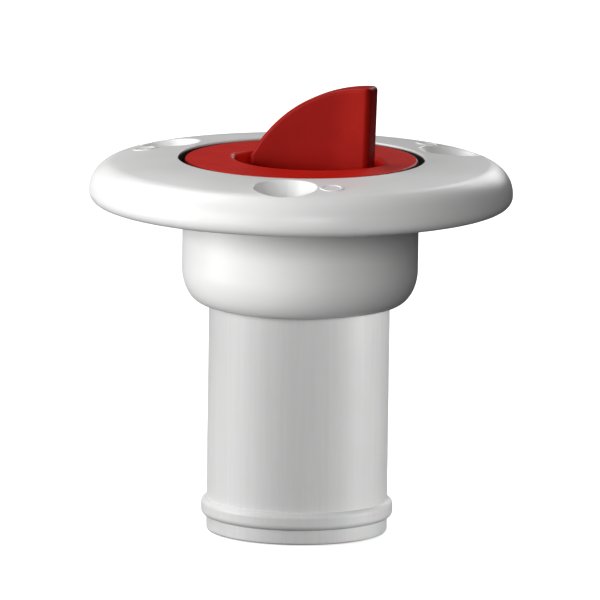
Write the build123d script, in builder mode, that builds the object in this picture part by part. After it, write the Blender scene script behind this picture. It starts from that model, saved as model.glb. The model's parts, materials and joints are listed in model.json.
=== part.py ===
from build123d import *
import os
from math import asin, cos, degrees, radians, sin

# Flush-mounted float air vent for a 38 mm hose, in millimetres.
# Z is the vent's axis, up through the cap. Z = 0 is the surface that the flange is screwed to,
# so the cup, the hose tail and the float valve are below it and the cap and its fin above it.

# ---------------------------------------------------------------- driving sizes

# flange
flange_radius = 44.5
flange_height = 9.6
flange_crown_radius = 80.0
flange_roll_radius = 6.0
flange_bottom_round = 2.2
opening_radius = 25.9
opening_lip = 0.3

# screw holes in the flange
screw_circle_radius = 35.0
screw_count = 3
first_screw_angle = -90
screw_hole_radius = 2.6
countersink_radius = 7.2
countersink_lip = 0.4
boss_radius = 6.2
mark_angle_from_screw = 16
mark_radius = 2.5
mark_hole_radius = 1.95
mark_height = 0.12

# cored underside of the flange
core_depth = 5.8
inner_core = (28.2, 33.6)
outer_core = (35.4, 40.6)
rib_count = 12
rib_width = 1.6

# cup below the flange
cup_radius = 24.8
cup_depth = 21.2
cup_round = 5.0
cup_round_height = 7.5
chamber_radius = 22.2
chamber_depth = 5.0
seal_bore_radius = 20.4
stop_radius = 17.6
stop_top_depth = 15.4
socket_top_depth = 17.4

# hose tail
tail_radius = 19.0
tail_bore_radius = 16.4
tail_depth = 69.6
tail_end_round = 0.6
barb_radius = 20.15
barb_top_depth = 62.7
barb_length = 3.7
bond_gap = 0.05

# tail seal
tail_groove_radius = 20.35
tail_groove_top_depth = 18.7
tail_groove_width = 1.7

# bayonet
ledge_radius = 20.6
ledge_bottom = 1.5
ledge_top = 3.5
ring_outer_radius = opening_radius - 0.1
lug_count = 3
lug_radius = 21.9
lug_half_angle = 10
slot_half_angle = 13
lug_top = ledge_bottom - 0.3
lug_bottom = -1.9
lock_turn = 75
stop_width_angle = 4

# cap
cap_radius = 24.5
cap_top = 9.4
cap_thickness = 3.0
cap_rim_round = 0.5
skirt_radius = 20.3
skirt_bore_radius = 18.3
skirt_bottom = -4.7
cap_seal_section = 1.28

# finger well, along the fin
fin_angle = -15
well_shift = 1.5
well_half_length = 16.3
well_half_width = 12.8
well_tip_round = 2.2
well_rim_round = 1.2
well_depth = 4.5
well_wall = 1.6
well_floor_thickness = 1.8
vent_hole_radius = 1.8
vent_hole_along = 9.0
vent_hole_across = 5.2

# fin
fin_shift = 2.4
fin_half_length = 13.35
fin_height = 16.3
fin_lean = 0.45
fin_arc_radius = 30.0
fin_foot_thickness = 4.4
fin_waist_thickness = 4.3
fin_end_thickness = 5.8
fin_end_round = 1.3
fin_edge_round = 0.9
tenon_length = 18.0
tenon_width = 3.0
fin_screw_spacing = 11.0
fin_screw_radius = 0.85
fin_screw_pilot_radius = 0.9
fin_screw_top = 8.2
fin_screw_head_radius = 1.9
fin_screw_head_height = 1.2
socket_size = 0.75
socket_depth = 0.7
plate_length = 22.0
plate_width = 8.0
plate_thickness = 1.0

# seat plate, under the cap
plate_radius = 20.0
plate_top = -5.0
plate_bottom = -8.0
plate_groove_radius = 18.35
plate_seal_section = 0.9
plate_groove_height = 2.0
collar_radius = 18.0
collar_bore_radius = 16.2
collar_top = -1.0
snap_radius = 18.9
snap_top = -2.6
snap_bottom = -3.6
snap_gap = 0.3
gauze_shelf = -2.6
gauze_pocket_radius = 17.1
gauze_thickness = 0.4
air_hole_radius = 7.0
seat_pocket_radius = 9.6
seat_pocket_top = -6.2

# rubber seat
seat_bore_radius = 6.2
seat_outer_radius = 9.5
seat_lip_radius = 8.0
seat_lip_bottom = -10.2

# float cage
cage_flange_radius = 17.0
cage_flange_thickness = 1.5
cage_flange_bore_radius = 8.4
cage_radius = 14.2
cage_bore_radius = 12.0
cage_rib_count = 6
cage_rib_width = 2.4
cage_bottom = -38.0
cage_floor_thickness = 2.0
cage_bar_width = 2.2
cage_screw_circle_radius = 15.2
cage_screw_first_angle = 30
cage_screw_radius = 0.85
cage_screw_head_radius = 1.6
cage_screw_head_height = 1.3
cage_screw_length = 3.4

# float
float_travel = 6.0
float_radius = 11.4
float_wall = 1.2
float_bottom_round = 4.5
float_top_round = 1.0
float_top = -18.4
float_joint = -27.0
float_seal_radius = 8.8
rivet_head_radius = 3.0
rivet_head_height = 1.2
rivet_shank_radius = 1.4
rivet_tail_radius = 2.4
seat_gap = 0.1
assembly_gap = 0.05

# ---------------------------------------------------------------- helpers

fin_direction = (cos(radians(fin_angle)), sin(radians(fin_angle)), 0)


def outline(*points):
    """A closed outline of (radius, height) points, ready to turn about the axis."""
    with BuildSketch(Plane.XZ) as profile:
        with BuildLine():
            Polyline(*points, close=True)
        make_face()
    return profile.sketch


def band(inner_radius, outer_radius, bottom, top):
    """The outline of a plain ring."""
    return outline((inner_radius, bottom), (outer_radius, bottom), (outer_radius, top), (inner_radius, top))


def sector(inner_radius, outer_radius, middle_angle, half_angle, height):
    """A flat piece of a ring, centred on one angle."""
    start = middle_angle - half_angle
    with BuildSketch(Plane.XY.offset(height)) as shape:
        with BuildLine():
            inner = CenterArc((0, 0), inner_radius, start, 2 * half_angle)
            outer = CenterArc((0, 0), outer_radius, start, 2 * half_angle)
            Line(inner @ 0, outer @ 0)
            Line(inner @ 1, outer @ 1)
        make_face()
    return shape.sketch


def along_fin(height, shift=0.0):
    """A level plane at a height, with its X axis along the fin and its origin shifted along it."""
    origin = (shift * fin_direction[0], shift * fin_direction[1], height)
    return Plane(origin, x_dir=fin_direction, z_dir=(0, 0, 1))


def eye(half_length, half_width, tip_round, height):
    """The finger well's outline: two shallow arcs that meet in rounded tips."""
    with BuildSketch(along_fin(height, well_shift)) as shape:
        with BuildLine():
            ThreePointArc((-half_length, 0), (0, half_width), (half_length, 0))
            ThreePointArc((half_length, 0), (0, -half_width), (-half_length, 0))
        make_face()
        fillet(shape.vertices(), tip_round)
    return shape.sketch


# ---------------------------------------------------------------- flange and cup

os.makedirs("parts", exist_ok=True)

# the flange's top: a shallow crown from the opening's lip, that runs into a tighter roll at the edge
crown_start = opening_radius + opening_lip
crown_centre_height = flange_height - flange_crown_radius
roll_centre = flange_radius - flange_roll_radius
centre_distance = flange_crown_radius - flange_roll_radius
crown_angle = degrees(asin((roll_centre - crown_start) / centre_distance))
roll_centre_height = crown_centre_height + centre_distance * cos(radians(crown_angle))

socket_radius = tail_radius + bond_gap
tail_groove_bottom_depth = tail_groove_top_depth + tail_groove_width

with BuildPart() as flange_body:
    with BuildSketch(Plane.XZ):
        with BuildLine():
            Polyline(
                (cup_radius - cup_round, -cup_depth),
                (socket_radius, -cup_depth),
                (socket_radius, -tail_groove_bottom_depth),
                (tail_groove_radius, -tail_groove_bottom_depth),
                (tail_groove_radius, -tail_groove_top_depth),
                (socket_radius, -tail_groove_top_depth),
                (socket_radius, -socket_top_depth),
                (stop_radius, -socket_top_depth),
                (stop_radius, -stop_top_depth),
                (seal_bore_radius, -stop_top_depth),
                (seal_bore_radius, -chamber_depth),
                (chamber_radius, -chamber_depth),
                (chamber_radius, ledge_bottom),
                (opening_radius, ledge_bottom),
                (opening_radius, flange_height - opening_lip),
            )
            CenterArc((crown_start, flange_height - opening_lip), opening_lip, 180, -90)
            CenterArc((crown_start, crown_centre_height), flange_crown_radius, 90, -crown_angle)
            CenterArc((roll_centre, roll_centre_height), flange_roll_radius, 0, 90 - crown_angle)
            Line((flange_radius, roll_centre_height), (flange_radius, flange_bottom_round))
            CenterArc((flange_radius - flange_bottom_round, flange_bottom_round), flange_bottom_round, 0, -90)
            Polyline(
                (flange_radius - flange_bottom_round, 0),
                (cup_radius, 0),
                (cup_radius, cup_round_height - cup_depth),
            )
            EllipticalCenterArc(
                (cup_radius - cup_round, cup_round_height - cup_depth),
                cup_round,
                cup_round_height,
                start_angle=270,
                arc_size=90,
            )
        make_face()
    revolve(axis=Axis.Z)

    # two cored grooves in the underside, crossed by ribs and left solid round the screws
    for groove_inner, groove_outer in (inner_core, outer_core):
        with BuildSketch(Plane.XY):
            Circle(groove_outer)
            Circle(groove_inner, mode=Mode.SUBTRACT)
            with PolarLocations(screw_circle_radius, screw_count, start_angle=first_screw_angle):
                Circle(boss_radius, mode=Mode.SUBTRACT)
            with PolarLocations(groove_outer, rib_count, start_angle=first_screw_angle):
                Rectangle(3 * (groove_outer - groove_inner), rib_width, mode=Mode.SUBTRACT)
        extrude(amount=core_depth, mode=Mode.SUBTRACT)

    # countersunk holes for wood screws
    with Locations((0, 0, flange_height)):
        with PolarLocations(screw_circle_radius, screw_count, start_angle=first_screw_angle):
            CounterSinkHole(screw_hole_radius, countersink_radius, counter_sink_angle=90)
    countersink_edges = flange_body.edges().filter_by(GeomType.LINE, reverse=True).filter_by(
        lambda edge: edge.bounding_box().min.Z > core_depth
        and edge.bounding_box().diagonal < 3 * countersink_radius
    )
    fillet(countersink_edges, countersink_lip)

    # a plain moulded ring beside each hole, square to the crown
    slope = asin((screw_circle_radius - crown_start) / flange_crown_radius)
    mark_base = crown_centre_height + flange_crown_radius * cos(slope) - mark_height
    for mark_number in range(screw_count):
        turn = radians(first_screw_angle + mark_angle_from_screw + mark_number * 360 / screw_count)
        mark_plane = Plane(
            (screw_circle_radius * cos(turn), screw_circle_radius * sin(turn), mark_base),
            z_dir=(sin(slope) * cos(turn), sin(slope) * sin(turn), cos(slope)),
        )
        with BuildSketch(mark_plane):
            Circle(mark_radius)
            Circle(mark_hole_radius, mode=Mode.SUBTRACT)
        extrude(amount=2 * mark_height)

flange_body.part.label = "flange_body"
export_step(flange_body.part, "parts/flange_body.step")

# ---------------------------------------------------------------- hose tail

barb_round = barb_radius - tail_radius
barb_bottom_depth = barb_top_depth + barb_length

with BuildPart() as hose_tail:
    with BuildSketch(Plane.XZ):
        with BuildLine():
            Polyline(
                (tail_radius - tail_end_round, -tail_depth),
                (tail_bore_radius, -tail_depth),
                (tail_bore_radius, -socket_top_depth - bond_gap),
                (tail_radius, -socket_top_depth - bond_gap),
                (tail_radius, -barb_top_depth),
            )
            CenterArc((tail_radius, -barb_top_depth - barb_round), barb_round, 90, -90)
            Line(
                (barb_radius, -barb_top_depth - barb_round),
                (barb_radius, -barb_bottom_depth + barb_round),
            )
            CenterArc((tail_radius, -barb_bottom_depth + barb_round), barb_round, 0, -90)
            Line((tail_radius, -barb_bottom_depth), (tail_radius, -tail_depth + tail_end_round))
            CenterArc((tail_radius - tail_end_round, -tail_depth + tail_end_round), tail_end_round, 0, -90)
        make_face()
    revolve(axis=Axis.Z)

hose_tail.part.label = "hose_tail"
export_step(hose_tail.part, "parts/hose_tail.step")

# ---------------------------------------------------------------- tail seal

tail_seal_section = (tail_groove_radius - socket_radius) / 2

with BuildPart() as tail_o_ring:
    with Locations((0, 0, -(tail_groove_top_depth + tail_groove_bottom_depth) / 2)):
        Torus(socket_radius + tail_seal_section, tail_seal_section - bond_gap / 2)

tail_o_ring.part.label = "tail_o_ring"
export_step(tail_o_ring.part, "parts/tail_o_ring.step")

# ---------------------------------------------------------------- bayonet ring

lug_spacing = 360 / lug_count
stop_half_angle = stop_width_angle / 2
open_stop_angle = lug_half_angle + 1 + stop_half_angle
lock_stop_angle = -lock_turn - lug_half_angle - 1 - stop_half_angle
stop_outer_radius = chamber_radius - 0.1

with BuildPart() as bayonet_ring:
    revolve(band(ledge_radius, ring_outer_radius, ledge_bottom, ledge_top), axis=Axis.Z)
    for lug in range(lug_count):
        lug_angle = first_screw_angle + lug * lug_spacing
        extrude(
            sector(ledge_radius - 1, chamber_radius, lug_angle, slot_half_angle, ledge_bottom),
            amount=ledge_top - ledge_bottom,
            mode=Mode.SUBTRACT,
        )
        for stop_angle in (open_stop_angle, lock_stop_angle):
            middle = lug_angle + stop_angle
            stop = sector(ledge_radius, stop_outer_radius, middle, stop_half_angle, lug_bottom)
            extrude(stop, amount=ledge_bottom - lug_bottom)

bayonet_ring.part.label = "bayonet_ring"
export_step(bayonet_ring.part, "parts/bayonet_ring.step")

# ---------------------------------------------------------------- cap

cap_underside = cap_top - cap_thickness
well_floor = cap_top - well_depth
well_underside = well_floor - well_floor_thickness
groove_wall_radius = snap_radius + snap_gap

with BuildPart() as cap_disc:
    with BuildSketch(Plane.XZ):
        with BuildLine():
            Polyline(
                (cap_radius - cap_rim_round, cap_top),
                (0, cap_top),
                (0, cap_underside),
                (skirt_bore_radius, cap_underside),
                (skirt_bore_radius, snap_top + snap_gap),
                (groove_wall_radius, snap_top + snap_gap),
                (groove_wall_radius, snap_bottom - snap_gap),
                (skirt_bore_radius, snap_bottom - snap_gap),
                (skirt_bore_radius, skirt_bottom),
                (skirt_radius, skirt_bottom),
                (skirt_radius, cap_underside),
                (cap_radius, cap_underside),
                (cap_radius, cap_top - cap_rim_round),
            )
            CenterArc((cap_radius - cap_rim_round, cap_top - cap_rim_round), cap_rim_round, 0, 90)
        make_face()
    revolve(axis=Axis.Z)

    # the well's walls and floor hang inside the skirt
    well_outside = eye(
        well_half_length + well_wall,
        well_half_width + well_wall,
        well_tip_round + well_wall,
        well_underside,
    )
    extrude(well_outside, amount=cap_underside - well_underside)
    extrude(
        eye(well_half_length, well_half_width, well_tip_round, well_floor),
        amount=well_depth,
        mode=Mode.SUBTRACT,
    )

    # slot for the fin's tenon, and four holes that let the air out beside the fin
    with BuildSketch(along_fin(well_underside, fin_shift)):
        Rectangle(tenon_length, tenon_width)
    extrude(amount=well_floor_thickness, mode=Mode.SUBTRACT)
    with BuildSketch(along_fin(well_underside, well_shift)):
        with GridLocations(2 * vent_hole_along, 2 * vent_hole_across, 2, 2):
            Circle(vent_hole_radius)
    extrude(amount=well_floor_thickness, mode=Mode.SUBTRACT)

    # bayonet lugs
    for lug in range(lug_count):
        lug_angle = first_screw_angle + lug * lug_spacing
        extrude(
            sector(skirt_radius - 0.5, lug_radius, lug_angle, lug_half_angle, lug_bottom),
            amount=lug_top - lug_bottom,
        )

    # soft rim round the well: every top edge but the longest, which is the cap's own rim
    top_edges = cap_disc.edges().group_by(Axis.Z)[-1].sort_by(Edge.length)
    fillet(top_edges[:-1], well_rim_round)

cap_disc.part.label = "cap_disc"
export_step(cap_disc.part, "parts/cap_disc.step")

# ---------------------------------------------------------------- cap seal

with BuildPart() as cap_o_ring:
    with Locations((0, 0, (cap_underside + ledge_top) / 2)):
        Torus(skirt_radius + cap_seal_section + assembly_gap, cap_seal_section)

cap_o_ring.part.label = "cap_o_ring"
export_step(cap_o_ring.part, "parts/cap_o_ring.step")

# ---------------------------------------------------------------- fin

fin_side = Plane(
    (fin_shift * fin_direction[0], fin_shift * fin_direction[1], 0),
    x_dir=fin_direction,
    z_dir=(fin_direction[1], -fin_direction[0], 0),
)
fin_top = cap_top + fin_height

with BuildPart() as fin_grip:
    # side view: upright tall end, and a brow that curves down to the foot
    with BuildSketch(fin_side):
        with BuildLine():
            tall_corner = (fin_half_length + fin_lean, fin_top)
            brow = RadiusArc((-fin_half_length, cap_top), tall_corner, fin_arc_radius)
            Polyline(
                brow @ 1,
                (fin_half_length, cap_top),
                (fin_half_length, well_floor),
                (-fin_half_length, well_floor),
                brow @ 0,
            )
        make_face()
    extrude(amount=fin_end_thickness, both=True)

    # plan view: hollow-ground sides that thicken towards the tall end
    fin_reach = fin_half_length + 1
    with BuildSketch(along_fin(well_floor, fin_shift)):
        with BuildLine():
            far_side = ThreePointArc(
                (-fin_reach, fin_foot_thickness / 2),
                (0, fin_waist_thickness / 2),
                (fin_reach, fin_end_thickness / 2),
            )
            near_side = ThreePointArc(
                (-fin_reach, -fin_foot_thickness / 2),
                (0, -fin_waist_thickness / 2),
                (fin_reach, -fin_end_thickness / 2),
            )
            Line(far_side @ 0, near_side @ 0)
            Line(far_side @ 1, near_side @ 1)
        make_face()
    extrude(amount=fin_top, mode=Mode.INTERSECT)

    # upright corners first, then the long edges of the brow
    upright_edges = fin_grip.edges().filter_by(lambda edge: edge.bounding_box().size.Z > 4)
    fillet(upright_edges.filter_by(GeomType.LINE), fin_end_round)
    high_edges = fin_grip.edges().filter_by(lambda edge: edge.bounding_box().max.Z > cap_top + 3)
    brow_edges = high_edges.filter_by(lambda edge: edge.bounding_box().size.Z < fin_height - 1)
    fillet(brow_edges.filter_by(lambda edge: edge.bounding_box().min.Z > cap_top - 0.1), fin_edge_round)

    # tenon, with pilot holes for the two screws
    with BuildSketch(along_fin(well_underside, fin_shift)):
        Rectangle(tenon_length - 0.1, tenon_width - 0.1)
    extrude(amount=well_floor_thickness)
    with BuildSketch(along_fin(well_underside, fin_shift)):
        with GridLocations(fin_screw_spacing, 1, 2, 1):
            Circle(fin_screw_pilot_radius)
    extrude(amount=fin_screw_top + assembly_gap - well_underside, mode=Mode.SUBTRACT)

fin_grip.part.label = "fin_grip"
export_step(fin_grip.part, "parts/fin_grip.step")

# ---------------------------------------------------------------- fin's plate and screws

clamp_top = well_underside - assembly_gap
clamp_bottom = clamp_top - plate_thickness

with BuildPart() as fin_clamp_plate:
    with BuildSketch(along_fin(clamp_bottom, fin_shift)):
        SlotOverall(plate_length, plate_width)
        with GridLocations(fin_screw_spacing, 1, 2, 1):
            Circle(fin_screw_pilot_radius + 0.2, mode=Mode.SUBTRACT)
    extrude(amount=plate_thickness)

fin_clamp_plate.part.label = "fin_clamp_plate"
export_step(fin_clamp_plate.part, "parts/fin_clamp_plate.step")

fin_screw_head_top = clamp_bottom - assembly_gap
fin_screw_head_bottom = fin_screw_head_top - fin_screw_head_height

with BuildPart() as fin_screws:
    with BuildSketch(along_fin(fin_screw_head_bottom, fin_shift)):
        with GridLocations(fin_screw_spacing, 1, 2, 1):
            Circle(fin_screw_head_radius)
    extrude(amount=fin_screw_head_height)
    with BuildSketch(along_fin(fin_screw_head_top, fin_shift)):
        with GridLocations(fin_screw_spacing, 1, 2, 1):
            Circle(fin_screw_radius)
    extrude(amount=fin_screw_top - fin_screw_head_top)
    with BuildSketch(along_fin(fin_screw_head_bottom, fin_shift)):
        with GridLocations(fin_screw_spacing, 1, 2, 1):
            RegularPolygon(socket_size, 6)
    extrude(amount=socket_depth, mode=Mode.SUBTRACT)

fin_screws.part.label = "fin_screws"
export_step(fin_screws.part, "parts/fin_screws.step")

# ---------------------------------------------------------------- seat plate

plate_middle = (plate_top + plate_bottom) / 2
groove_top = plate_middle + plate_groove_height / 2
groove_bottom = plate_middle - plate_groove_height / 2

with BuildPart() as seat_plate:
    turned = outline(
        (air_hole_radius, seat_pocket_top),
        (seat_pocket_radius, seat_pocket_top),
        (seat_pocket_radius, plate_bottom),
        (plate_radius, plate_bottom),
        (plate_radius, groove_bottom),
        (plate_groove_radius, groove_bottom),
        (plate_groove_radius, groove_top),
        (plate_radius, groove_top),
        (plate_radius, plate_top),
        (collar_radius, plate_top),
        (collar_radius, snap_bottom),
        (snap_radius, snap_bottom),
        (collar_radius + 0.2, snap_top),
        (collar_radius, collar_top),
        (gauze_pocket_radius, collar_top),
        (gauze_pocket_radius, gauze_shelf),
        (collar_bore_radius, gauze_shelf),
        (collar_bore_radius, plate_top),
        (air_hole_radius, plate_top),
    )
    revolve(turned, axis=Axis.Z)
    with BuildSketch(Plane.XY.offset(plate_bottom)):
        with PolarLocations(cage_screw_circle_radius, 3, start_angle=cage_screw_first_angle):
            Circle(cage_screw_radius + assembly_gap)
    extrude(amount=cage_screw_length - cage_flange_thickness + 0.2, mode=Mode.SUBTRACT)

seat_plate.part.label = "seat_plate"
export_step(seat_plate.part, "parts/seat_plate.step")

# ---------------------------------------------------------------- cartridge seal

with BuildPart() as cartridge_o_ring:
    with Locations((0, 0, plate_middle)):
        Torus(plate_groove_radius + plate_seal_section + assembly_gap, plate_seal_section)

cartridge_o_ring.part.label = "cartridge_o_ring"
export_step(cartridge_o_ring.part, "parts/cartridge_o_ring.step")

# ---------------------------------------------------------------- gauze and its ring

gauze_bottom = gauze_shelf + assembly_gap
gauze_top = gauze_bottom + gauze_thickness

with BuildPart() as gauze_screen:
    revolve(band(0, gauze_pocket_radius - 0.15, gauze_bottom, gauze_top), axis=Axis.Z)

gauze_screen.part.label = "gauze_screen"
export_step(gauze_screen.part, "parts/gauze_screen.step")

with BuildPart() as gauze_ring:
    revolve(
        band(gauze_pocket_radius - 2, gauze_pocket_radius - 0.1, gauze_top + assembly_gap, collar_top),
        axis=Axis.Z,
    )

gauze_ring.part.label = "gauze_ring"
export_step(gauze_ring.part, "parts/gauze_ring.step")

# ---------------------------------------------------------------- rubber seat

with BuildPart() as valve_seat:
    turned = outline(
        (seat_bore_radius, seat_lip_bottom),
        (seat_lip_radius, seat_lip_bottom),
        (seat_lip_radius, plate_bottom),
        (seat_outer_radius, plate_bottom),
        (seat_outer_radius, seat_pocket_top - assembly_gap),
        (seat_bore_radius, seat_pocket_top - assembly_gap),
    )
    revolve(turned, axis=Axis.Z)

valve_seat.part.label = "valve_seat"
export_step(valve_seat.part, "parts/valve_seat.step")

# ---------------------------------------------------------------- float cage

cage_top = plate_bottom - assembly_gap
cage_flange_bottom = cage_top - cage_flange_thickness
cage_floor = cage_bottom + cage_floor_thickness

with BuildPart() as valve_cage:
    revolve(band(cage_flange_bore_radius, cage_flange_radius, cage_flange_bottom, cage_top), axis=Axis.Z)
    revolve(band(cage_bore_radius, cage_radius, cage_bottom, cage_floor), axis=Axis.Z)

    # upright ribs guide the float
    with BuildSketch(Plane.XY.offset(cage_bottom)):
        with PolarLocations((cage_bore_radius + cage_radius) / 2, cage_rib_count):
            Rectangle(cage_radius - cage_bore_radius, cage_rib_width)
    extrude(amount=cage_flange_bottom - cage_bottom)

    # crossed bars carry the float at the bottom
    with BuildSketch(Plane.XY.offset(cage_bottom)):
        with PolarLocations(0, 3):
            Rectangle(2 * cage_bore_radius + 1, cage_bar_width)
    extrude(amount=cage_floor_thickness)

    with BuildSketch(Plane.XY.offset(cage_flange_bottom)):
        with PolarLocations(cage_screw_circle_radius, 3, start_angle=cage_screw_first_angle):
            Circle(cage_screw_radius + 0.15)
    extrude(amount=cage_flange_thickness, mode=Mode.SUBTRACT)

valve_cage.part.label = "valve_cage"
export_step(valve_cage.part, "parts/valve_cage.step")

# ---------------------------------------------------------------- cage screws

cage_screw_head_top = cage_flange_bottom - assembly_gap

with BuildPart() as cage_screws:
    with BuildSketch(Plane.XY.offset(cage_screw_head_top - cage_screw_head_height)):
        with PolarLocations(cage_screw_circle_radius, 3, start_angle=cage_screw_first_angle):
            Circle(cage_screw_head_radius)
    extrude(amount=cage_screw_head_height)
    with BuildSketch(Plane.XY.offset(cage_screw_head_top)):
        with PolarLocations(cage_screw_circle_radius, 3, start_angle=cage_screw_first_angle):
            Circle(cage_screw_radius)
    extrude(amount=cage_screw_length)
    with BuildSketch(Plane.XY.offset(cage_screw_head_top - cage_screw_head_height)):
        with PolarLocations(cage_screw_circle_radius, 3, start_angle=cage_screw_first_angle):
            RegularPolygon(socket_size, 6)
    extrude(amount=socket_depth, mode=Mode.SUBTRACT)

cage_screws.part.label = "cage_screws"
export_step(cage_screws.part, "parts/cage_screws.step")

# ---------------------------------------------------------------- float

float_bottom = cage_floor + assembly_gap
float_bore_radius = float_radius - float_wall
spigot_radius = float_radius - 0.6

with BuildPart() as float_upper:
    turned = outline(
        (rivet_shank_radius + assembly_gap, float_top),
        (float_radius, float_top),
        (float_radius, float_joint),
        (spigot_radius + assembly_gap, float_joint),
        (spigot_radius + assembly_gap, float_joint + 1.5),
        (float_bore_radius, float_joint + 1.5),
        (float_bore_radius, float_top - float_wall),
        (rivet_shank_radius + assembly_gap, float_top - float_wall),
    )
    revolve(turned, axis=Axis.Z)
    top_edges = float_upper.edges().filter_by(GeomType.CIRCLE).group_by(Axis.Z)[-1]
    fillet(top_edges.sort_by(SortBy.RADIUS)[-1], float_top_round)

float_upper.part.label = "float_upper"
export_step(float_upper.part, "parts/float_upper.step")

with BuildPart() as float_lower:
    revolve(band(0, float_radius, float_bottom, float_joint - assembly_gap), axis=Axis.Z)
    bottom_edge = float_lower.edges().filter_by(GeomType.CIRCLE).group_by(Axis.Z)[0]
    fillet(bottom_edge, float_bottom_round)
    revolve(
        band(0, float_bore_radius, float_bottom + float_bottom_round, float_joint - assembly_gap),
        axis=Axis.Z,
        mode=Mode.SUBTRACT,
    )
    revolve(
        band(
            float_bore_radius - 1.2,
            spigot_radius,
            float_joint - 2.5,
            float_joint + 1.4,
        ),
        axis=Axis.Z,
    )

float_lower.part.label = "float_lower"
export_step(float_lower.part, "parts/float_lower.step")

# ---------------------------------------------------------------- float's seal and rivet

seal_top = seat_lip_bottom - float_travel - seat_gap
seal_bottom = float_top + assembly_gap

with BuildPart() as float_seal:
    revolve(
        band(rivet_shank_radius + assembly_gap, float_seal_radius, seal_bottom, seal_top),
        axis=Axis.Z,
    )

float_seal.part.label = "float_seal"
export_step(float_seal.part, "parts/float_seal.step")

rivet_head_bottom = seal_top + assembly_gap
rivet_tail_top = float_top - float_wall - assembly_gap

with BuildPart() as seal_rivet:
    turned = outline(
        (0, rivet_tail_top - 1.0),
        (rivet_tail_radius, rivet_tail_top - 1.0),
        (rivet_tail_radius, rivet_tail_top),
        (rivet_shank_radius, rivet_tail_top),
        (rivet_shank_radius, rivet_head_bottom),
        (rivet_head_radius, rivet_head_bottom),
        (rivet_head_radius - 0.8, rivet_head_bottom + rivet_head_height),
        (0, rivet_head_bottom + rivet_head_height),
    )
    revolve(turned, axis=Axis.Z)

seal_rivet.part.label = "seal_rivet"
export_step(seal_rivet.part, "parts/seal_rivet.step")
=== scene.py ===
import json
import math

import bpy
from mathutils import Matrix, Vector


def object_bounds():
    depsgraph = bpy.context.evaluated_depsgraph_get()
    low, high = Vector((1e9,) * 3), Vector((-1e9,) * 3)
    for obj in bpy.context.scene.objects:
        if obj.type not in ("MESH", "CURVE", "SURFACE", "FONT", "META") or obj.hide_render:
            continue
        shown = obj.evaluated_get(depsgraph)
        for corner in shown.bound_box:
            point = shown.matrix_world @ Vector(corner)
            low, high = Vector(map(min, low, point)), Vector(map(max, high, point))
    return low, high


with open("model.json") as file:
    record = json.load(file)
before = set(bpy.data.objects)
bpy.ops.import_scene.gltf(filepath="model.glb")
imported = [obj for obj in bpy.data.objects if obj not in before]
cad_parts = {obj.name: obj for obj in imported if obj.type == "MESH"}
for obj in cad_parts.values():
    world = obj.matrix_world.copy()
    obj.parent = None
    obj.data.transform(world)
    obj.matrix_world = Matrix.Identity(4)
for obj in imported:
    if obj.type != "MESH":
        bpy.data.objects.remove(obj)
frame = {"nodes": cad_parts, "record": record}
cad_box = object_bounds()

# ---------------------------------------------------------------- named values, in metres and degrees

# camera, from a long way off, as a catalogue picture is taken
VIEW_AZIMUTH = 5.5
VIEW_ELEVATION = 10.0
VIEW_DISTANCE = 4.0
VIEW_WIDTH = 0.126
VIEW_ROLL = 0.8
VIEW_REACH = 50.0
SENSOR_WIDTH = 36.0  # millimetres, as Blender gives it
VIEW_CENTRE_HEIGHT = -0.0207
VIEW_CENTRE_SIDE = 0.0001

# stage
FLOOR_HALF_SIZE = 3.0
FLOOR_GAP = 0.0002
FLOOR_GLOW = 0.80
LIGHT_AIM_HEIGHT = -0.02
WORLD_BRIGHTNESS = 0.05

# where a finish changes, from the first value to the second: heights, distances from the fitting's
# axis, and for the fin a distance along it
# the painted reflection lines down the cup end at this height
REFLECTION_STREAKS_END = (-0.003, 0.0)
# the band of painted shade on the wall of the opening round the cap
OPENING_WALL_BOTTOM = (0.0014, 0.0016)
OPENING_WALL_TOP = (0.0090, 0.0093)
OPENING_RADIUS = (0.0260, 0.0261)
# the cap's painted shade lies below the first height and beyond the second radius
CAP_TOP = (0.00920, 0.00938)
CAP_RIM_RADIUS = (0.0239, 0.0241)
FIN_TALL_END = (0.006, 0.012)

# gauze
WIRE_PITCH = 0.0012
WAVE_LENGTH = 0.314  # between the bands of Blender's wave texture at scale 1

# the colour sockets of Blender's mix node
MIX_A = 6
MIX_B = 7
MIX_RESULT = 2

# ---------------------------------------------------------------- building materials


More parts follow.
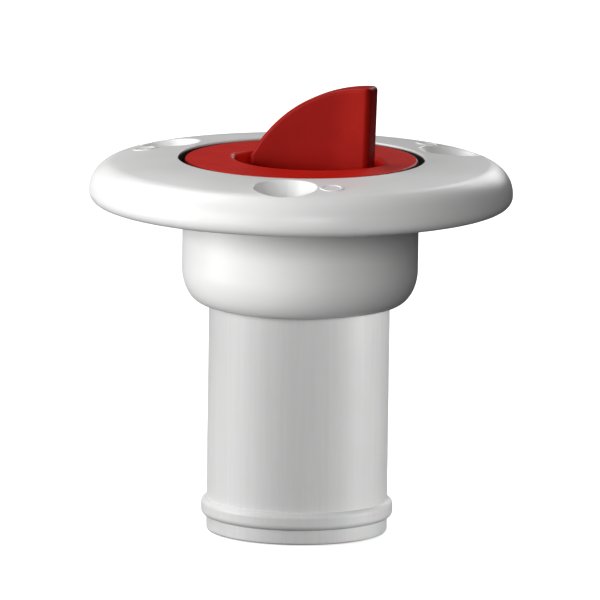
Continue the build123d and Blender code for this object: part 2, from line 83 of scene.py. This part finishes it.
class Finish:
    """A material under construction: a Principled shader with helpers for its nodes."""

    def __init__(self, name):
        self.material = bpy.data.materials.new(name)
        self.material.use_nodes = True
        self.tree = self.material.node_tree
        self.shader = self.tree.nodes["Principled BSDF"]
        self.place = self.tree.nodes.new("ShaderNodeTexCoord").outputs["Object"]
        self.last_bump = None

    def stretched(self, scale):
        """Object coordinates stretched by a scale for each axis."""
        mapping = self.tree.nodes.new("ShaderNodeMapping")
        mapping.inputs["Scale"].default_value = scale
        self.tree.links.new(self.place, mapping.inputs["Vector"])
        return mapping.outputs["Vector"]

    def ramp(self, axis, low, high):
        """0 on one side of a place on an axis and 1 on the other, with a soft change between them."""
        split = self.tree.nodes.new("ShaderNodeSeparateXYZ")
        self.tree.links.new(self.place, split.inputs[0])
        return self.spread(split.outputs[axis], low, high)

    def distance_out(self, low, high):
        """0 nearer the object's axis and 1 farther out, with a soft change between two radii."""
        length = self.tree.nodes.new("ShaderNodeVectorMath")
        length.operation = "LENGTH"
        self.tree.links.new(self.stretched((1, 1, 0)), length.inputs[0])
        return self.spread(length.outputs["Value"], low, high)

    def noise(self, size, detail=3.0, roughness=0.55, stretch=(1, 1, 1)):
        """Noise whose features are about one size across, in metres."""
        node = self.tree.nodes.new("ShaderNodeTexNoise")
        node.inputs["Scale"].default_value = 1.0 / size
        node.inputs["Detail"].default_value = detail
        node.inputs["Roughness"].default_value = roughness
        self.tree.links.new(self.stretched(stretch), node.inputs["Vector"])
        return node.outputs["Fac"]

    def spread(self, value, low, high, new_low=0, new_high=1):
        """Maps a value from one range to another, clamped."""
        node = self.tree.nodes.new("ShaderNodeMapRange")
        node.inputs["From Min"].default_value = low
        node.inputs["From Max"].default_value = high
        node.inputs["To Min"].default_value = new_low
        node.inputs["To Max"].default_value = new_high
        self.tree.links.new(value, node.inputs["Value"])
        return node.outputs["Result"]

    def mix(self, amount, colour_a, colour_b):
        """Blends two colours, each a plain colour or another node's output."""
        node = self.tree.nodes.new("ShaderNodeMix")
        node.data_type = "RGBA"
        self.tree.links.new(amount, node.inputs["Factor"])
        for socket, colour in ((MIX_A, colour_a), (MIX_B, colour_b)):
            if isinstance(colour, tuple):
                node.inputs[socket].default_value = (*colour, 1.0)
            else:
                self.tree.links.new(colour, node.inputs[socket])
        return node.outputs[MIX_RESULT]

    def blend(self, value, low, high, colour_a, colour_b):
        """One colour where a value is below a range, another above it, and a mix of them inside it."""
        return self.mix(self.spread(value, low, high), colour_a, colour_b)

    def colour(self, value):
        """Takes the colour from a node's output."""
        self.tree.links.new(value, self.shader.inputs["Base Color"])

    def roughness(self, value, low, high, smooth, rough):
        """Runs from smooth to rough as a value runs over a range."""
        value = self.spread(value, low, high, smooth, rough)
        self.tree.links.new(value, self.shader.inputs["Roughness"])

    def bump(self, height, depth, strength=1.0):
        """Adds a bump of a given depth in metres, on top of any bump before it."""
        node = self.tree.nodes.new("ShaderNodeBump")
        node.inputs["Strength"].default_value = strength
        node.inputs["Distance"].default_value = depth
        self.tree.links.new(height, node.inputs["Height"])
        if self.last_bump is not None:
            self.tree.links.new(self.last_bump, node.inputs["Normal"])
        self.last_bump = node.outputs["Normal"]
        self.tree.links.new(self.last_bump, self.shader.inputs["Normal"])

    def set(self, **sockets):
        """Sets shader sockets that are the same all over, by name with underscores for spaces."""
        for name, value in sockets.items():
            self.shader.inputs[name.replace("_", " ")].default_value = value


def white_gloss():
    """Moulded white plastic, with faint vertical lines of painted reflection down the cup and painted
    shade on the wall of the gap round the cap.
    """
    finish = Finish("white_gloss")
    cloud = finish.noise(0.016, detail=0.0)
    ripple = finish.noise(0.010, detail=0.0)
    # painted reflections: lighter and darker vertical lines down the cup, standing in for reflections on
    # its gloss
    reflection_streak = finish.noise(0.0016, detail=1.0, stretch=(1, 1, 0.03))
    shade = finish.blend(cloud, 0.1, 0.9, (0.80, 0.80, 0.795), (0.86, 0.86, 0.855))
    light_reflection_streaks = finish.mix(finish.spread(reflection_streak, 0.54, 0.80, 0, 0.45), shade, (0.97, 0.97, 0.97))
    reflection_streaks = finish.mix(finish.spread(reflection_streak, 0.25, 0.42, 0.3, 0), light_reflection_streaks, (0.66, 0.66, 0.655))
    outside = finish.mix(finish.ramp("Z", *REFLECTION_STREAKS_END), reflection_streaks, shade)
    # painted shade: near black on the wall of the opening round the cap, where the white wall is only in
    # shadow
    painted_shade_wall = finish.mix(finish.ramp("Z", *OPENING_WALL_TOP), (0.025, 0.035, 0.035), shade)
    inside = finish.mix(finish.ramp("Z", *OPENING_WALL_BOTTOM), shade, painted_shade_wall)
    finish.colour(finish.mix(finish.distance_out(*OPENING_RADIUS), inside, outside))
    finish.roughness(ripple, 0.1, 0.9, smooth=0.30, rough=0.42)
    finish.bump(ripple, 0.0001, 0.12)
    return finish.material


def white_satin():
    """Satin white tube plastic with fine draw lines along it."""
    finish = Finish("white_satin")
    lines = finish.noise(0.0009, detail=2.0, stretch=(1, 1, 0.03))
    finish.colour(finish.blend(lines, 0.35, 0.7, (0.79, 0.79, 0.785), (0.82, 0.82, 0.815)))
    finish.roughness(finish.noise(0.004), 0.3, 0.7, smooth=0.36, rough=0.50)
    finish.bump(lines, 0.00002, 0.4)
    finish.bump(finish.noise(0.0005, detail=2.0), 0.00001, 0.4)
    finish.set(Subsurface_Weight=0.05, Subsurface_Scale=0.002)
    return finish.material


def red_cap():
    """Semi-gloss red moulded plastic, slightly mottled, with painted shade darkening the side of its outer
    edge.
    """
    finish = Finish("red_cap")
    cloud = finish.noise(0.006, detail=3.0)
    red = finish.blend(cloud, 0.25, 0.75, (0.54, 0.011, 0.005), (0.62, 0.014, 0.006))
    # painted shade: dark red on the side of the cap's outer edge, below its top and beyond the given
    # radius
    painted_shade_rim = finish.mix(finish.ramp("Z", *CAP_TOP), (0.16, 0.006, 0.004), red)
    finish.colour(finish.mix(finish.distance_out(*CAP_RIM_RADIUS), red, painted_shade_rim))
    finish.roughness(finish.noise(0.003), 0.25, 0.75, smooth=0.36, rough=0.50)
    finish.bump(finish.noise(0.0035, detail=1.0), 0.00005, 0.25)
    finish.set(Specular_IOR_Level=0.08)
    return finish.material


def red_fin():
    """The fin's red, deeper than the cap's as painted shade on its faces, paler towards its tall end as a
    painted highlight, clouded, with small scuffs.
    """
    finish = Finish("red_fin")
    # painted shade and highlight: a deeper red than the cap's all over the fin, paler towards its tall end
    # where its faces catch the light
    painted_shade_and_highlight = finish.mix(finish.ramp("X", *FIN_TALL_END), (0.335, 0.005, 0.002), (0.43, 0.011, 0.006))
    cloud = finish.spread(finish.noise(0.007, detail=2.0), 0.4, 0.75, 0, 0.5)
    clouded = finish.mix(cloud, painted_shade_and_highlight, (0.27, 0.004, 0.001))
    scuff = finish.spread(finish.noise(0.0011, detail=2.0), 0.64, 0.78, 0, 0.35)
    finish.colour(finish.mix(scuff, clouded, (0.20, 0.003, 0.001)))
    finish.roughness(finish.noise(0.003), 0.25, 0.75, smooth=0.36, rough=0.50)
    finish.bump(finish.noise(0.0035, detail=1.0), 0.00006, 0.3)
    finish.set(Specular_IOR_Level=0.08)
    return finish.material


def grey_nylon():
    """Matt grey moulded nylon."""
    finish = Finish("grey_nylon")
    finish.colour(finish.blend(finish.noise(0.004), 0.3, 0.7, (0.40, 0.41, 0.41), (0.46, 0.47, 0.47)))
    finish.roughness(finish.noise(0.002), 0.3, 0.7, smooth=0.48, rough=0.62)
    finish.bump(finish.noise(0.0004), 0.00001, 0.5)
    return finish.material


def float_plastic():
    """Ivory moulded plastic, for the float's shells."""
    finish = Finish("float_plastic")
    finish.colour(finish.blend(finish.noise(0.005), 0.3, 0.7, (0.70, 0.68, 0.60), (0.75, 0.73, 0.66)))
    finish.roughness(finish.noise(0.003), 0.3, 0.7, smooth=0.34, rough=0.46)
    finish.bump(finish.noise(0.0005), 0.00001, 0.5)
    return finish.material


def black_rubber():
    """Matt black nitrile rubber with a dusty bloom."""
    finish = Finish("black_rubber")
    bloom = finish.noise(0.0025, detail=4.0)
    finish.colour(finish.blend(bloom, 0.45, 0.75, (0.018, 0.018, 0.019), (0.05, 0.05, 0.05)))
    finish.roughness(bloom, 0.3, 0.7, smooth=0.6, rough=0.8)
    finish.bump(finish.noise(0.0003), 0.00001, 0.6)
    return finish.material


def stainless():
    """Turned stainless steel, with fine tool marks round it."""
    finish = Finish("stainless")
    marks = finish.noise(0.0008, detail=3.0, stretch=(1, 1, 4))
    finish.colour(finish.blend(marks, 0.3, 0.7, (0.56, 0.56, 0.57), (0.64, 0.64, 0.65)))
    finish.roughness(marks, 0.3, 0.7, smooth=0.22, rough=0.38)
    finish.bump(marks, 0.000008, 0.4)
    finish.set(Metallic=1.0)
    return finish.material


def stainless_gauze():
    """Woven stainless wire, as crossed waves of light wires with painted shade in the openings between
    them.
    """
    finish = Finish("stainless_gauze")
    waves = []
    for axis in ("X", "Y"):
        wave = finish.tree.nodes.new("ShaderNodeTexWave")
        wave.bands_direction = axis
        wave.inputs["Scale"].default_value = WAVE_LENGTH / WIRE_PITCH
        wave.inputs["Distortion"].default_value = 0.0
        finish.tree.links.new(finish.place, wave.inputs["Vector"])
        waves.append(wave.outputs["Fac"])
    larger = finish.tree.nodes.new("ShaderNodeMath")
    larger.operation = "MAXIMUM"
    for wave, socket in zip(waves, larger.inputs):
        finish.tree.links.new(wave, socket)
    wires = larger.outputs["Value"]
    # painted shade: near black in the openings between the wires
    finish.colour(finish.blend(wires, 0.45, 0.75, (0.03, 0.03, 0.03), (0.55, 0.55, 0.56)))
    finish.roughness(finish.noise(0.0015), 0.3, 0.7, smooth=0.30, rough=0.45)
    finish.bump(wires, 0.0001, 0.6)
    finish.set(Metallic=0.8)
    return finish.material


def floor_paper():
    """Matt white paper that glows a little, so that the floor comes out evenly pale."""
    finish = Finish("floor_paper")
    finish.roughness(finish.noise(0.02), 0.3, 0.7, smooth=0.85, rough=0.95)
    finish.set(Base_Color=(0.90, 0.90, 0.90, 1), Emission_Color=(1, 1, 1, 1), Emission_Strength=FLOOR_GLOW)
    return finish.material


MATERIALS = {
    "white_gloss": white_gloss(),
    "white_satin": white_satin(),
    "red_plastic": red_cap(),
    "grey_nylon": grey_nylon(),
    "float_plastic": float_plastic(),
    "black_rubber": black_rubber(),
    "stainless": stainless(),
    "stainless_gauze": stainless_gauze(),
}

for part in frame["record"]["subparts"]:
    cad_node = frame["nodes"][part["node"]]
    cad_node.data.materials.clear()
    cad_node.data.materials.append(MATERIALS[part["material_slot"]])

# the fin is a separate moulding; its red is deeper than the cap's, as painted shade on its upright faces
frame["nodes"]["fin_grip"].data.materials[0] = red_fin()

# ---------------------------------------------------------------- stage


def make_floor():
    """A large pale floor just under the tail's end. It throws no light back on to the object."""
    side = FLOOR_HALF_SIZE
    height = cad_box[0][2] - FLOOR_GAP
    corners = [(x, y, height) for x, y in ((-side, -side), (side, -side), (side, side), (-side, side))]
    mesh = bpy.data.meshes.new("floor")
    mesh.from_pydata(corners, [], [(0, 1, 2, 3)])
    floor = bpy.data.objects.new("floor", mesh)
    bpy.context.scene.collection.objects.link(floor)
    mesh.materials.append(floor_paper())
    floor.visible_diffuse = False
    floor.visible_glossy = False


def direction(azimuth, elevation):
    """A unit vector out from the object. Azimuth is measured from its front, to the right."""
    turn = math.radians(azimuth)
    rise = math.radians(elevation)
    return Vector((math.sin(turn) * math.cos(rise), -math.cos(turn) * math.cos(rise), math.sin(rise)))


def make_light(name, azimuth, elevation, distance, size, power, only=()):
    """A square soft light that aims at the object. Azimuth is measured from the camera, to the right.

    Where only some pieces are given, the light reaches no others.
    """
    light = bpy.data.lights.new(name, "AREA")
    light.size = size
    light.energy = power
    lamp = bpy.data.objects.new(name, light)
    bpy.context.scene.collection.objects.link(lamp)
    target = Vector((0, 0, LIGHT_AIM_HEIGHT))
    lamp.location = target + distance * direction(VIEW_AZIMUTH + azimuth, elevation)
    lamp.rotation_euler = (target - lamp.location).to_track_quat("-Z", "Y").to_euler()
    if only:
        lit = bpy.data.collections.new(name + "_lit")
        for piece in only:
            lit.objects.link(piece)
        lamp.light_linking.receiver_collection = lit


def make_world():
    """Faint even light from all round."""
    world = bpy.data.worlds.new("studio")
    world.use_nodes = True
    world.node_tree.nodes["Background"].inputs["Color"].default_value = (1, 1, 1, 1)
    world.node_tree.nodes["Background"].inputs["Strength"].default_value = WORLD_BRIGHTNESS
    bpy.context.scene.world = world


def make_camera():
    """A very long lens, so that the view is nearly parallel."""
    data = bpy.data.cameras.new("camera")
    data.sensor_width = SENSOR_WIDTH
    data.lens = SENSOR_WIDTH * VIEW_DISTANCE / VIEW_WIDTH
    data.clip_end = VIEW_REACH
    camera = bpy.data.objects.new("camera", data)
    bpy.context.scene.collection.objects.link(camera)
    right = direction(VIEW_AZIMUTH + 90, 0)
    away = direction(VIEW_AZIMUTH, VIEW_ELEVATION)
    target = Vector((0, 0, VIEW_CENTRE_HEIGHT)) + VIEW_CENTRE_SIDE * right
    camera.location = target + VIEW_DISTANCE * away
    camera.rotation_euler = (-away).to_track_quat("-Z", "Y").to_euler()
    camera.rotation_euler.rotate_axis("Z", math.radians(VIEW_ROLL))
    bpy.context.scene.camera = camera


def all_nodes_but(name):
    return [node for node_name, node in frame["nodes"].items() if node_name != name]


make_floor()
tail = [frame["nodes"]["hose_tail"]]
above = all_nodes_but("hose_tail")
all_but_fin = all_nodes_but("fin_grip")
make_light("left", azimuth=-82, elevation=6, distance=1.2, size=0.7, power=15)
make_light("left_front", azimuth=-40, elevation=10, distance=1.2, size=0.6, power=5, only=above)
make_light("front", azimuth=4, elevation=16, distance=1.2, size=0.4, power=4.5, only=all_but_fin)
make_light("top", azimuth=-125, elevation=56, distance=1.2, size=0.7, power=7)
make_light("rear", azimuth=160, elevation=22, distance=1.3, size=0.5, power=3)
make_light("tail_right", azimuth=82, elevation=0, distance=1.0, size=0.5, power=9, only=tail)
make_world()
make_camera()
bpy.context.scene.view_settings.view_transform = "Standard"
